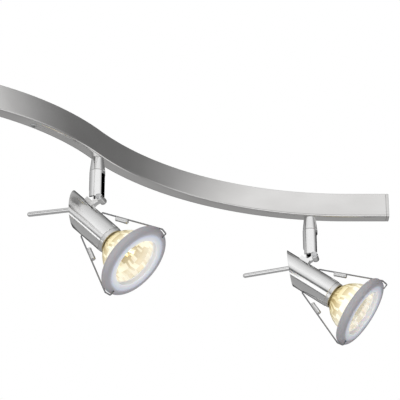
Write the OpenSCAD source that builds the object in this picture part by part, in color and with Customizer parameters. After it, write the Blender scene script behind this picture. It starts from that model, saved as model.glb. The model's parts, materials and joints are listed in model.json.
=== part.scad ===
// Wave-shaped ceiling rail light with four aimable low-voltage spot heads.
// Origin: middle of the mounting plate's top face, which lies on the ceiling.
// +Z is up, +X runs along the rail, and the rail's middle bends towards -Y.

/* [Rail] */
// Width of the rail's section
rail_w = 12.7; // [12:0.1:15]
// Height of the rail's section
rail_h = 25; // [20:0.5:30]
// Thickness of the rail's walls
rail_wall = 1.2; // [0.8:0.1:1.5]
// Radius along the rail's two lower edges
rail_edge_r = 2.5; // [1.5:0.1:3.5]
// Radius of the bend beside the canopy, at the rail's centreline
inner_bend_r = 250; // [200:5:300]
// Radius of the bend nearer the rail's end, at the rail's centreline
outer_bend_r = 280; // [230:5:330]
// Angle that each of the two bends turns through
bend_angle = 60; // [48:1:68]
// Length of the straight piece at each end
end_straight = 40; // [30:1:60]
// Gap between the two half rails, inside the canopy
half_rail_gap = 60; // [52:1:72]
// Thickness of an end cap's face
end_cap_t = 3; // [2:0.5:5]
// Length of the plug that holds an end cap in the rail
end_cap_plug = 8; // [5:1:12]
// Place of each rail screw, measured along the rail from its end
rail_screw_from_end = 413; // [395:1:440]

/* [Canopy and ceiling plate] */
// Diameter of the canopy
canopy_d = 150; // [146:1:180]
// Depth of the canopy below the ceiling
canopy_h = 34; // [32:0.5:45]
// Thickness of the canopy's sheet
canopy_wall = 1.2; // [0.8:0.1:2]
// Radius of the canopy's lower edge
canopy_edge_r = 6; // [3:0.5:10]
// Width of the mounting plate, along the rail
plate_w = 44; // [40:1:48]
// Length of the mounting plate, across the rail
plate_l = 132; // [128:1:138]
// Thickness of the mounting plate
plate_t = 2; // [1.5:0.5:3]
// Distance between the two ceiling screw slots
slot_spacing = 88.9; // [83:0.1:96]
// Width of each ceiling screw slot
slot_w = 5; // [4:0.5:6]
// Length of each ceiling screw slot, end to end
slot_l = 12; // [8:1:14]
// Diameter of the hole that the supply cable comes through
supply_hole_d = 16; // [12:1:18]
// Distance from the middle to each canopy screw
canopy_screw_y = 58; // [56:0.5:60]

/* [Swivel stem] */
// Place of each outer head, measured along the rail from its end
outer_head_from_end = 78; // [60:1:110]
// Place of each inner head, measured along the rail from its end
inner_head_from_end = 327; // [300:1:350]
// Diameter of the ferrule where it meets the rail
ferrule_top_d = 11.4; // [10:0.1:12]
// Height of the ferrule
ferrule_h = 13.6; // [8:0.1:16]
// Diameter of the stem
stem_d = 14.4; // [13:0.1:16]
// Length of the stem
stem_l = 25.8; // [24:0.1:40]
// Thickness of the disc that closes the stem's top
stem_disc_t = 3; // [2:0.5:5]
// Width of the slot down the front of the stem
stem_slot_w = 8.4; // [7:0.1:9]
// Thickness of the stem's back wall
stem_back_t = 2.5; // [1.5:0.1:3]
// Diameter of the hollow nipple that carries the stem
nipple_d = 6; // [5:0.1:6.4]
// Diameter of the cable way through the nipple
nipple_bore_d = 3.4; // [2.8:0.1:3.6]

/* [Tilt pivot] */
// Distance from the stem's axis forwards to the tilt pivot
pivot_forward = 4.3; // [3:0.1:5]
// Distance from the stem's lower end down to the tilt pivot
pivot_below_stem = 1.7; // [1:0.1:2.4]
// Diameter of the round end of the stem around the pivot
pivot_boss_d = 6.4; // [6:0.1:7.5]
// Width of the stem across the pivot
pivot_boss_w = 11.6; // [11:0.1:13]
// Diameter of the pivot screw's shank
pivot_screw_d = 3; // [2.5:0.1:3.5]
// Distance from the pivot to the lamp tube's axis
tube_drop = 22.9; // [22.5:0.1:30]
// Length of the saddle that holds the tube
saddle_l = 10; // [8:0.5:16]

/* [Lamp tube] */
// Outer diameter of the lamp tube
tube_d = 26.8; // [25:0.1:28]
// Thickness of the lamp tube's wall
tube_wall = 1.2; // [0.8:0.1:1.6]
// Distance from the pivot forwards to the tube's front end
tube_front = 36; // [32:0.5:44]
// Distance from the pivot back to the tube's rear end, along its top
tube_rear = 26.5; // [24:0.5:40]
// Angle of the slanted rear end, from square
rear_slant = 43; // [30:1:48]
// Depth of the rear cap inside the slanted end
rear_cap_recess = 2.5; // [1:0.5:4]
// Thickness of the rear cap
rear_cap_t = 2; // [1.5:0.5:3]
// Diameter of the aiming rod
rod_d = 4.4; // [3:0.1:5]
// Length of the aiming rod outside the tube
rod_l = 46.5; // [30:0.5:50]

/* [Lamp and glass ring] */
// Diameter of the lamp's rim
lamp_d = 50.4; // [48:0.1:51]
// Depth of the lamp's reflector
lamp_depth = 30; // [28:0.5:32]
// Distance from the tube's front end to the lamp's front face
lamp_forward = 32; // [31:0.5:36]
// Diameter of the lamp's neck
lamp_neck_d = 14.8; // [13:0.1:15]
// Outer diameter of the glass ring
ring_d = 72; // [64:0.5:80]
// Diameter of the glass ring's opening
ring_opening_d = 47; // [44:0.5:47.6]
// Thickness of the glass ring
ring_t = 8; // [6:0.5:10]
// Thickness of the ring's lip in front of the lamp
ring_lip_t = 5.1; // [3:0.1:5.5]

/* [Spring clips] */
// Diameter of the spring wire
clip_d = 1.4; // [1:0.1:1.6]
// Distance from the tube's front end back to the clips' feet
clip_back = 25; // [22:0.5:26]
// Diameter of the clips' finger grips
grip_d = 4.6; // [3.6:0.1:5]
// Length of the clips' finger grips
grip_l = 12.5; // [8:0.5:16]

/* [Rest pose of the heads] */
// Turn of the outer heads towards the room, from straight along the rail
outer_yaw = 10.5; // [0:0.5:45]
// Turn of the inner heads towards the room, from straight along the rail
inner_yaw = 19; // [0:0.5:45]
// Aim of the outer heads below level
outer_tilt = 37; // [10:0.5:60]
// Aim of the inner heads below level
inner_tilt = 45; // [10:0.5:60]

/* [Hidden] */
$fn = 64;
cut = 200;              // larger than anything that a cut has to clear
run_gap = 0.05;         // radial clearance of a part that turns on another
slip_gap = 0.15;        // clearance on each side of a part that is pushed in
body_gap = 0.3;         // clearance between parts that move past each other
screw_r = 2;            // radius of the machine screws' shanks
screw_head_r = 3.5;
screw_head_h = 2.2;
rail_screw_r = 1.6;     // the two rail screws are thinner and have lower heads
rail_screw_head_r = 2.9;
rail_screw_head_h = 1.3;
plate_post_r = 6;       // post that holds the joiner tongue below the plate
tongue_t = 4;           // thickness of the joiner tongue inside the half rails
tongue_reach = 35;      // length of the tongue inside each half rail
supply_hole = [-6, 22]; // place of the supply hole in the plate
cap_nut_r = 4.5;
cap_nut_h = 5;
transformer_size = [68, 24, 24];
transformer_y = -16;    // the side of the transformer that faces the rail
nut_af = nipple_d + 3.8; // width across flats of the nuts inside the rail
nut_t = 4;
lock_nut_r = min(nipple_d / 2 + 0.8, stem_slot_w / 2 - body_gap);
lock_nut_t = 3;
back_opening = 9;       // height above the pivot that the stem's back is open to, for the saddle
nipple_above_nut = 4;   // length of nipple that stands above its nut
cable_w = 2.6;          // flat two-core cable, which stands on edge in the rail
cable_h = 4.6;
cable_side = 3.5;       // distance from the rail's centreline to the cable, past the rail screws
drop_lead_d = nipple_bore_d - 0.8; // the part of the cable that goes down the nipple
pin_r = 0.8;            // contact pins of the lamp
pin_l = 7;
pin_spacing = 5.3;
lamp_shell = 1.6;       // thickness of the lamp's reflector
lamp_glass_t = 1.5;     // thickness of the lamp's front glass
lamp_steps = 10;        // facets along the reflector's curve
holder_d = 17;
holder_l = 16;
collar_l = 14;          // length of the collar from the lampholder to its front
collar_wall = 1.2;
collar_front = 4;       // length of the collar outside the tube
ring_edge_r = 3.5;
bend_swell = 0.06;      // a bend in a wire, or a joint in the rail, is this much thicker
joint_gap = 0.15;       // distance from a joint's middle to the pieces that it joins
clip_rise = 1;          // height of the clips' wire above the tube and ring
clip_hook_gap = 1.1;    // gap between the ring's front and the clip's hook
clip_hook_l = 5;        // length of the hook in front of the ring
grip_at = 21.5;         // distance of the grip in front of the clip's foot

outer_arc = outer_bend_r * bend_angle * PI / 180;
end_x = (inner_bend_r + outer_bend_r) * sin(bend_angle) + end_straight;
end_y = (inner_bend_r + outer_bend_r) * (1 - cos(bend_angle));
gap_angle = half_rail_gap / 2 / inner_bend_r * 180 / PI;
tongue_angle = gap_angle + tongue_reach / inner_bend_r * 180 / PI;
tongue_screw_angle = (gap_angle + tongue_angle) / 2;
joint_turn = joint_gap / inner_bend_r * 180 / PI;
channel_w = rail_w - 2 * rail_wall;
floor_z = rail_wall - rail_h;
nut_z = floor_z;
nipple_top = nut_z + nut_t + nipple_above_nut;
cable_z = nipple_top + body_gap + cable_h / 2;
ferrule_bottom = -ferrule_h;
stem_top = ferrule_bottom - body_gap;
stem_bottom = stem_top - stem_l;
pivot_z = stem_bottom - pivot_below_stem;
stem_r = stem_d / 2;
slot_back = stem_back_t - stem_r;
nipple_bottom = stem_top - stem_disc_t - body_gap - lock_nut_t;
tube_r = tube_d / 2;
tube_bore = tube_r - tube_wall;
holder_front = tube_front + collar_front - collar_l;
lamp_front = tube_front + lamp_forward;
lamp_vertex = lamp_front - lamp_depth;
ring_front = lamp_front + slip_gap + ring_lip_t;
ring_back = ring_front - ring_t;
clip_foot = tube_front - clip_back;
clip_foot_r = tube_bore - clip_d - 0.1;
clip_foot_w = 7;
clip_hole_r = clip_d / 2 + 0.9;

// Each head: [place along the rail from its end, turn, tilt, side]
HEADS = [
    [outer_head_from_end, 180 + outer_yaw, outer_tilt, -1],
    [inner_head_from_end, 180 + inner_yaw, inner_tilt, -1],
    [inner_head_from_end, -inner_yaw, inner_tilt, 1],
    [outer_head_from_end, -outer_yaw, outer_tilt, 1]
];
HEAD_PIECES = [
    "stem", "pivot_screw", "knuckle", "tube", "rear_cap", "aiming_rod", "lampholder",
    "collar", "lamp", "glass_ring", "upper_clip", "lower_clip"
];

// Direction of the right half rail at distance s from its end, in degrees from +X
function heading(s) =
    s <= end_straight ? 0 :
    s <= end_straight + outer_arc ? (s - end_straight) / outer_bend_r * 180 / PI :
    bend_angle - (s - end_straight - outer_arc) / inner_bend_r * 180 / PI;

// Point on the right half rail's centreline at distance s from its end
function rail_point(s) =
    let (h = heading(s))
    s <= end_straight ? [end_x - s, end_y] :
    s <= end_straight + outer_arc ?
        [end_x - end_straight - outer_bend_r * sin(h), end_y - outer_bend_r * (1 - cos(h))] :
    [inner_bend_r * sin(h), inner_bend_r * (1 - cos(h))];

// ---------------------------------------------------------------- places

module both_sides() {
    children();
    mirror([1, 0, 0]) children();
}

// Sweeps a section along the bend beside the canopy, between two headings
module inner_bend(from, to) {
    translate([0, inner_bend_r, 0]) rotate([0, 0, from - 90])
        rotate_extrude(angle = to - from) translate([inner_bend_r, 0]) children();
}

// Sweeps a section along the bend near the end, between two headings
module outer_bend(from, to) {
    translate([end_x - end_straight, end_y - outer_bend_r, 0]) rotate([0, 0, 90 + from])
        rotate_extrude(angle = to - from) translate([outer_bend_r, 0]) children();
}

// Sweeps a section along the straight end, between two distances from the rail's end
module straight_end(from, to) {
    translate([end_x - to, end_y, 0]) rotate([90, 0, 90]) linear_extrude(to - from) children();
}

module on_rail(s, z = 0) {
    p = rail_point(s);
    translate([p[0], p[1], z]) rotate([0, 0, heading(s)]) children();
}

module at_each_head(z = 0) {
    for (h = HEADS) translate([h[3] * rail_point(h[0])[0], rail_point(h[0])[1], z]) children();
}

// The frame that a head's stem turns in: its origin is on the rail's underside
module at_stem(i) {
    h = HEADS[i];
    p = rail_point(h[0]);
    translate([h[3] * p[0], p[1], -rail_h]) rotate([0, 0, h[1]]) children();
}

// The frame that a lamp tube tilts in: its origin is the pivot, +X is the aim
module at_pivot(i) {
    at_stem(i) translate([pivot_forward, 0, pivot_z]) rotate([0, HEADS[i][2], 0]) children();
}

// The lamp tube's own axis, with +Z along the aim
module at_tube(i, forward = 0) {
    at_pivot(i) translate([forward, 0, -tube_drop]) rotate([0, 90, 0]) children();
}

// The slanted rear end: +X points out of it, square to the slant
module at_slant(i) {
    at_pivot(i) translate([tube_r * tan(rear_slant) - tube_rear, 0, -tube_drop])
        rotate([0, 180 - rear_slant, 0]) children();
}

// ---------------------------------------------------------------- rail

module rail_outline(grow = 0) {
    w = rail_w + 2 * grow;
    h = rail_h + grow;
    translate([-w / 2, rail_edge_r - h]) square([w, h - rail_edge_r]);
    translate([rail_edge_r - w / 2, -h]) square([w - 2 * rail_edge_r, rail_edge_r]);
    for (side = [-1, 1]) translate([side * (w / 2 - rail_edge_r), rail_edge_r - h]) circle(rail_edge_r);
}

module rail_channel(grow = 0) {
    inside = channel_w - 2 * grow;
    difference() {
        rail_outline(grow);
        translate([-inside / 2, floor_z + grow]) square([inside, rail_h]);
        translate([-rail_w, -grow]) square([2 * rail_w, rail_h]);
    }
}

// Joins two pieces of the rail that end just short of distance s from the rail's end
module rail_joint(s) {
    on_rail(s) rotate([90, 0, 90]) linear_extrude(6 * joint_gap, center = true) rail_channel(bend_swell / 2);
}

module half_rail() {
    difference() {
        union() {
            inner_bend(gap_angle, bend_angle - joint_turn) rail_channel();
            rail_joint(end_straight + outer_arc);
            outer_bend(joint_turn, bend_angle - joint_turn) rail_channel();
            rail_joint(end_straight);
            straight_end(end_cap_t, end_straight - joint_gap) rail_channel();
        }
        for (s = [outer_head_from_end, inner_head_from_end])
            on_rail(s, -rail_h - 1) cylinder(r = nipple_d / 2 + run_gap, h = rail_wall + 2);
        on_rail(rail_screw_from_end, -rail_h - 1) cylinder(r = rail_screw_r + slip_gap, h = rail_wall + 2);
        at_tongue_screw() cylinder(r = screw_r + slip_gap, h = rail_wall + 2);
    }
}

module at_tongue_screw() {
    translate([inner_bend_r * sin(tongue_screw_angle), inner_bend_r * (1 - cos(tongue_screw_angle)), -rail_h - 1])
        children();
}

module right_rail() {
    color("silver") half_rail();
}

module left_rail() {
    color("silver") mirror([1, 0, 0]) half_rail();
}

module end_caps() {
    plug_w = channel_w - 2 * slip_gap;
    color("silver") both_sides() {
        straight_end(0, end_cap_t) rail_outline();
        straight_end(end_cap_t, end_cap_t + end_cap_plug)
            translate([-plug_w / 2, floor_z + slip_gap]) square([plug_w, rail_h / 2]);
    }
}

// ---------------------------------------------------------------- ceiling plate and canopy

module mounting_plate() {
    tongue_w = channel_w - 2 * slip_gap;
    color("gainsboro") difference() {
        union() {
            translate([-plate_w / 2, -plate_l / 2, -plate_t]) cube([plate_w, plate_l, plate_t]);
            translate([0, 0, floor_z + tongue_t / 2])
                cylinder(r = plate_post_r, h = -plate_t - floor_z - tongue_t / 2);
            inner_bend(-tongue_angle, tongue_angle)
                translate([-tongue_w / 2, floor_z]) square([tongue_w, tongue_t]);
        }
        for (side = [-1, 1]) translate([0, side * slot_spacing / 2, -plate_t - 1]) {
            for (end = [-1, 1]) translate([0, end * (slot_l - slot_w) / 2, 0])
                cylinder(r = slot_w / 2, h = plate_t + 2);
            translate([-slot_w / 2, -(slot_l - slot_w) / 2, 0]) cube([slot_w, slot_l - slot_w, plate_t + 2]);
        }
        translate([supply_hole[0], supply_hole[1], -plate_t - 1])
            cylinder(d = supply_hole_d, h = plate_t + 2);
        both_sides() at_tongue_screw() cylinder(r = screw_r, h = rail_wall + tongue_t + 2);
        translate([0, 0, floor_z - 1]) cylinder(r = screw_r, h = tongue_t + plate_post_r);
        for (side = [-1, 1]) translate([0, side * canopy_screw_y, -plate_t - 1])
            cylinder(r = screw_r, h = plate_t + 2);
    }
}

module canopy_outline(inset) {
    r = canopy_d / 2 - inset;
    h = canopy_h - inset;
    edge = canopy_edge_r - inset;
    translate([0, -h]) square([r - edge, h]);
    translate([0, edge - h]) square([r, h - edge]);
    translate([r - edge, edge - h]) circle(edge);
}

module canopy() {
    wall_angle = asin(canopy_d / 2 / inner_bend_r);
    color("silver") difference() {
        rotate_extrude() difference() {
            canopy_outline(0);
            canopy_outline(canopy_wall);
        }
        both_sides() inner_bend(wall_angle - 4, wall_angle + 4)
            translate([-rail_w / 2 - body_gap, -rail_h - body_gap]) square([rail_w + 2 * body_gap, rail_h + 1]);
        for (side = [-1, 1]) translate([0, side * canopy_screw_y, -canopy_h - 1])
            cylinder(r = screw_r + slip_gap, h = canopy_wall + 2);
    }
}

module cap_nuts() {
    color("silver") for (side = [-1, 1]) translate([0, side * canopy_screw_y, -canopy_h]) difference() {
        union() {
            translate([0, 0, -cap_nut_h]) cylinder(r = cap_nut_r, h = cap_nut_h);
            translate([0, 0, -cap_nut_h]) sphere(cap_nut_r);
        }
        translate([0, 0, -cap_nut_h]) cylinder(r = screw_r, h = cap_nut_h + 1);
    }
}

module screws() {
    color("lightgray") {
        both_sides() at_tongue_screw() {
            translate([0, 0, 1 - screw_head_h]) cylinder(r = screw_head_r, h = screw_head_h);
            cylinder(r = screw_r, h = 1 + rail_wall + tongue_t);
        }
        translate([0, 0, floor_z - screw_head_h]) cylinder(r = screw_head_r, h = screw_head_h);
        translate([0, 0, floor_z - 1]) cylinder(r = screw_r, h = tongue_t + plate_post_r);
        both_sides() on_rail(rail_screw_from_end, -rail_h) {
            translate([0, 0, -rail_screw_head_h]) cylinder(r = rail_screw_head_r, h = rail_screw_head_h);
            cylinder(r = rail_screw_r, h = rail_h);
        }
        for (side = [-1, 1]) translate([0, side * canopy_screw_y, -canopy_h - cap_nut_h])
            cylinder(r = screw_r, h = canopy_h + cap_nut_h);
    }
}

module transformer() {
    color("white") translate([-transformer_size[0] / 2, transformer_y - transformer_size[1],
                              -plate_t - transformer_size[2]]) cube(transformer_size);
}

// Flat cable from the transformer, past the nipples, to the outer head of each half rail
module feed_cables() {
    corner_angle = gap_angle - 1;
    out = inner_bend_r + cable_side;
    corner = [out * sin(corner_angle), inner_bend_r - out * cos(corner_angle), cable_z];
    fold = cable_w + 4 * joint_gap;
    side_lead_w = drop_lead_d + 0.6;
    side_lead_h = cable_h / 2;
    color("dimgray") both_sides() {
        translate([corner[0] - cable_w / 2, transformer_y, cable_z - cable_h / 2])
            cube([cable_w, corner[1] - transformer_y, cable_h]);
        translate(corner) cube([fold, fold, cable_h + bend_swell], center = true);
        inner_bend(corner_angle, bend_angle - joint_turn)
            translate([cable_side, cable_z]) square([cable_w, cable_h], center = true);
        on_rail(end_straight + outer_arc, cable_z) translate([0, -cable_side, 0])
            cube([6 * joint_gap, cable_w + bend_swell, cable_h + bend_swell], center = true);
        outer_bend(heading(outer_head_from_end), bend_angle - joint_turn)
            translate([-cable_side, cable_z]) square([cable_w, cable_h], center = true);
        for (s = [outer_head_from_end, inner_head_from_end]) {
            on_rail(s, cable_z) translate([-side_lead_w / 2, -cable_side, -side_lead_h / 2])
                cube([side_lead_w, cable_side + side_lead_w / 2, side_lead_h]);
            on_rail(s, nipple_bottom - rail_h) cylinder(d = drop_lead_d, h = cable_z + rail_h - nipple_bottom);
        }
    }
}

// ---------------------------------------------------------------- fittings under the rail

module ferrules() {
    color("silver") at_each_head(-rail_h - ferrule_h) difference() {
        cylinder(r1 = stem_d / 2, r2 = ferrule_top_d / 2, h = ferrule_h);
        translate([0, 0, -1]) cylinder(r = nipple_d / 2 + run_gap, h = ferrule_h + 2);
    }
}

module nipples() {
    top = nipple_top + rail_h;
    color("dimgray") at_each_head(nipple_bottom - rail_h) difference() {
        cylinder(d = nipple_d, h = top - nipple_bottom);
        translate([0, 0, -1]) cylinder(d = nipple_bore_d, h = top - nipple_bottom + 2);
    }
}

module nipple_nuts() {
    color("dimgray") for (h = HEADS) {
        p = rail_point(h[0]);
        translate([h[3] * p[0], p[1], nut_z]) rotate([0, 0, h[3] * heading(h[0])]) difference() {
            cylinder(r = nut_af / 2 / cos(30), h = nut_t, $fn = 6);
            translate([0, 0, -1]) cylinder(d = nipple_d, h = nut_t + 2);
        }
        translate([h[3] * p[0], p[1], nipple_bottom - rail_h]) difference() {
            cylinder(r = lock_nut_r, h = lock_nut_t);
            translate([0, 0, -1]) cylinder(d = nipple_d, h = lock_nut_t + 2);
        }
    }
}

// ---------------------------------------------------------------- stem and pivot

module stem(i) {
    slot_top = stem_top - stem_disc_t;
    color("silver") at_stem(i) difference() {
        union() {
            translate([0, 0, stem_bottom]) cylinder(r = stem_r, h = stem_l);
            translate([pivot_forward, 0, pivot_z]) rotate([90, 0, 0])
                cylinder(d = pivot_boss_d, h = pivot_boss_w, center = true);
        }
        translate([slot_back, -stem_slot_w / 2, slot_top - cut]) cube([cut, stem_slot_w, cut]);
        translate([-cut, -stem_slot_w / 2, pivot_z + back_opening - cut]) cube([cut, stem_slot_w, cut]);
        translate([0, 0, slot_top - 1]) cylinder(r = nipple_d / 2 + run_gap, h = stem_disc_t + 2);
        translate([pivot_forward, 0, pivot_z]) rotate([90, 0, 0]) {
            cylinder(r = pivot_screw_d / 2 + run_gap, h = cut, center = true);
            translate([0, 0, pivot_boss_w / 2]) cylinder(d = pivot_boss_d, h = cut); // flat for the screw's head
        }
    }
}

module pivot_screw(i) {
    head_h = 1.2;
    color("lightgray") at_stem(i) translate([pivot_forward, 0, pivot_z]) rotate([90, 0, 0]) {
        cylinder(d = pivot_screw_d, h = pivot_boss_w, center = true);
        translate([0, 0, pivot_boss_w / 2]) cylinder(d = pivot_boss_d - 1.2, h = head_h);
    }
}

module knuckle(i) {
    link = [0.353, 0.935];  // direction of the link from the saddle up to the pivot
    half = 2;               // half the link's depth
    link_w = 5;
    saddle_w = stem_slot_w - 4 * slip_gap - body_gap;
    saddle_top = 3;         // height of the saddle above the tube
    reach = tube_drop - tube_r;
    foot_x = -reach * link[0] / link[1];
    color("silver") at_pivot(i) difference() {
        union() {
            rotate([90, 0, 0]) cylinder(d = pivot_boss_d - 0.2, h = stem_slot_w - 2 * body_gap, center = true);
            rotate([90, 0, 0]) linear_extrude(link_w, center = true) polygon([
                [half * link[1], -half * link[0]],
                [-half * link[1], half * link[0]],
                [foot_x - half * link[1], half * link[0] - reach],
                [foot_x + half * link[1], -half * link[0] - reach]
            ]);
            translate([foot_x + 2.6 - saddle_l, -saddle_w / 2, -reach - 1])
                cube([saddle_l, saddle_w, saddle_top + 1]);
        }
        rotate([90, 0, 0]) cylinder(r = pivot_screw_d / 2 + run_gap, h = cut, center = true);
        translate([-cut / 2, 0, -tube_drop]) rotate([0, 90, 0]) cylinder(r = tube_r, h = cut);
    }
}

// ---------------------------------------------------------------- lamp tube

module tube(i) {
    color("silver") difference() {
        at_tube(i, -tube_rear) cylinder(r = tube_r, h = tube_rear + tube_front);
        at_tube(i, -tube_rear - 1) cylinder(r = tube_bore, h = tube_rear + tube_front + 2);
        at_slant(i) translate([0, -cut / 2, -cut / 2]) cube(cut);
        at_tube(i, clip_foot) rotate([0, 90, 0]) cylinder(r = clip_hole_r, h = cut, center = true);
    }
}

module rear_cap(i) {
    color("silver") difference() {
        intersection() {
            at_tube(i, -tube_rear) cylinder(r = tube_bore, h = tube_rear + tube_front);
            at_slant(i) translate([-rear_cap_recess - rear_cap_t, -cut / 2, -cut / 2]) cube([rear_cap_t, cut, cut]);
        }
        at_slant(i) rotate([0, 90, 0]) cylinder(d = rod_d - 1, h = cut, center = true);
    }
}

module aiming_rod(i) {
    color("silver") at_slant(i) rotate([0, 90, 0]) {
        translate([0, 0, -rear_cap_recess - rear_cap_t]) cylinder(d = rod_d - 1, h = rear_cap_t);
        translate([0, 0, -rear_cap_recess]) cylinder(d = rod_d, h = rod_l + rear_cap_recess - rod_d / 2);
        translate([0, 0, rod_l - rod_d / 2]) sphere(d = rod_d);
    }
}

// ---------------------------------------------------------------- lamp

module lampholder(i) {
    color("ivory") at_tube(i, holder_front - holder_l) difference() {
        cylinder(d = holder_d, h = holder_l);
        for (side = [-1, 1]) translate([0, side * pin_spacing / 2, holder_l - pin_l - 1])
            cylinder(r = pin_r + run_gap, h = pin_l + 2);
    }
}

module collar(i) {
    flange_r = tube_r - 0.5;
    color("gainsboro") at_tube(i, holder_front) difference() {
        union() {
            cylinder(r = tube_bore, h = collar_l - collar_front);
            translate([0, 0, collar_l - collar_front]) cylinder(r = flange_r, h = collar_front);
        }
        translate([0, 0, collar_wall]) cylinder(r = tube_bore - collar_wall, h = collar_l);
        translate([0, 0, -1]) cylinder(r = lamp_neck_d / 2 + slip_gap, h = collar_wall + 2);
    }
}

// Radius of the reflector at depth x behind the lamp's front, shrunk by the shell's thickness
function reflector_r(x, shell) =
    (lamp_d / 2 - shell) * sqrt(max(0, 1 - pow(x / (lamp_depth - shell), 2)));

function reflector_curve(shell) =
    [for (k = [0:lamp_steps]) let (x = (lamp_depth - shell) * sin(90 * k / lamp_steps))
        [reflector_r(x, shell), -x]];

module lamp(i) {
    neck_l = lamp_vertex - holder_front;
    capsule_r = 4.5;
    capsule_l = 15;
    color("khaki") at_tube(i, lamp_front) {
        difference() {
            union() {
                rotate_extrude() polygon(concat([[0, 0]], reflector_curve(0)));
                translate([0, 0, -lamp_depth - neck_l]) cylinder(d = lamp_neck_d, h = neck_l + lamp_shell);
            }
            rotate_extrude() polygon(concat([[0, 1], [lamp_d / 2 - lamp_shell, 1]], reflector_curve(lamp_shell)));
        }
        translate([0, 0, -lamp_glass_t]) cylinder(r = lamp_d / 2 - lamp_shell, h = lamp_glass_t);
        translate([0, 0, lamp_shell / 2 - lamp_depth]) cylinder(r = capsule_r, h = capsule_l);
        translate([0, 0, lamp_shell / 2 - lamp_depth + capsule_l]) sphere(capsule_r);
        for (side = [-1, 1]) translate([0, side * pin_spacing / 2, -lamp_depth - neck_l - pin_l])
            cylinder(r = pin_r, h = pin_l + 1);
    }
}

module glass_ring(i) {
    r = ring_edge_r;
    inner = ring_opening_d / 2;
    outer = ring_d / 2;
    color("lightsteelblue") at_tube(i, ring_back) difference() {
        rotate_extrude() {
            translate([inner, 0]) square([outer - r - inner, ring_t]);
            translate([inner, r]) square([outer - inner, ring_t - 2 * r]);
            for (z = [r, ring_t - r]) translate([outer - r, z]) circle(r);
        }
        translate([0, 0, -1]) cylinder(r = lamp_d / 2 + slip_gap, h = ring_t - ring_lip_t + 1);
    }
}

// ---------------------------------------------------------------- spring clips

// A round wire through a list of points, each [forward, away from the tube's axis]
module wire(points) {
    for (k = [0:len(points) - 2]) {
        run = points[k + 1] - points[k];
        translate([points[k][0], 0, points[k][1]]) {
            rotate([0, atan2(run[0], run[1]), 0]) cylinder(d = clip_d, h = norm(run));
            if (k > 0) sphere(d = clip_d + bend_swell);
        }
    }
}

module clip() {
    elbow = [clip_foot, tube_r + clip_rise];
    top = [(ring_front + ring_back) / 2, ring_d / 2 + clip_rise + clip_d / 2];
    corner = [ring_front + clip_hook_gap + clip_d / 2, ring_d / 2 + clip_d / 2];
    slope = atan2(top[1] - elbow[1], top[0] - elbow[0]);
    translate([clip_foot, 0, clip_foot_r]) rotate([90, 0, 0])
        cylinder(d = clip_d, h = clip_foot_w, center = true);
    wire([[clip_foot, clip_foot_r], elbow, top, corner, [corner[0], corner[1] - clip_hook_l]]);
    translate([elbow[0], 0, elbow[1]]) rotate([0, -slope, 0]) translate([grip_at, 0, -grip_d / 2 + clip_d / 4])
        rotate([0, 90, 0]) cylinder(d = grip_d, h = grip_l, center = true);
}

module upper_clip(i) {
    color("dimgray") at_pivot(i) translate([0, 0, -tube_drop]) clip();
}

module lower_clip(i) {
    color("dimgray") at_pivot(i) translate([0, 0, -tube_drop]) mirror([0, 0, 1]) clip();
}

left_rail();
right_rail();
end_caps();
mounting_plate();
canopy();
cap_nuts();
screws();
transformer();
feed_cables();
ferrules();
nipples();
nipple_nuts();

for (i = [0:len(HEADS) - 1]) {
    head = str("head_", i + 1, "_");
    stem(i);
    pivot_screw(i);
    knuckle(i);
    tube(i);
    rear_cap(i);
    aiming_rod(i);
    lampholder(i);
    collar(i);
    lamp(i);
    glass_ring(i);
    upper_clip(i);
    lower_clip(i);
}
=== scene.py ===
import json
import math
import random

import bmesh
import bpy
from mathutils import Matrix, Vector


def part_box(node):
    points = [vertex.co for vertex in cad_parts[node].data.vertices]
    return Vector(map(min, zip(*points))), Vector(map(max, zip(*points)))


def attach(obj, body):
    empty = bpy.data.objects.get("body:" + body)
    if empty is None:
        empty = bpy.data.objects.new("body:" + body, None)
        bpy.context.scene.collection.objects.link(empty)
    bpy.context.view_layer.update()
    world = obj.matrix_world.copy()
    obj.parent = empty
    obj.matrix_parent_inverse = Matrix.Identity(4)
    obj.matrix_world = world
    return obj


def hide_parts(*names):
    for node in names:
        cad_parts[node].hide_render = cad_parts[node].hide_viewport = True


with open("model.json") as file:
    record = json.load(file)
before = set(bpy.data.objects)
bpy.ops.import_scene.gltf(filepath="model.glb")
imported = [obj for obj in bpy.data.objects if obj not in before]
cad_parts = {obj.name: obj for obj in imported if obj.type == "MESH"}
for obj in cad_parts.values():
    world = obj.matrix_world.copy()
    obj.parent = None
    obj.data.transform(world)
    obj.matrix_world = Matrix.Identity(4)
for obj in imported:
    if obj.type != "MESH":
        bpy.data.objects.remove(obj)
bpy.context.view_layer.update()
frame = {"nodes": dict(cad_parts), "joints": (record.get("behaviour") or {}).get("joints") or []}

# Looks for a wave-shaped ceiling rail light with four aimable spot heads.
# Shapes are made in millimetres and put into the frame in metres.
# A head's pieces are made once, about its tilt pivot: +X is the aim and +Z is up, square to it.

MM = 0.001

# ---------------------------------------------------------------- sizes, in millimetres

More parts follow.
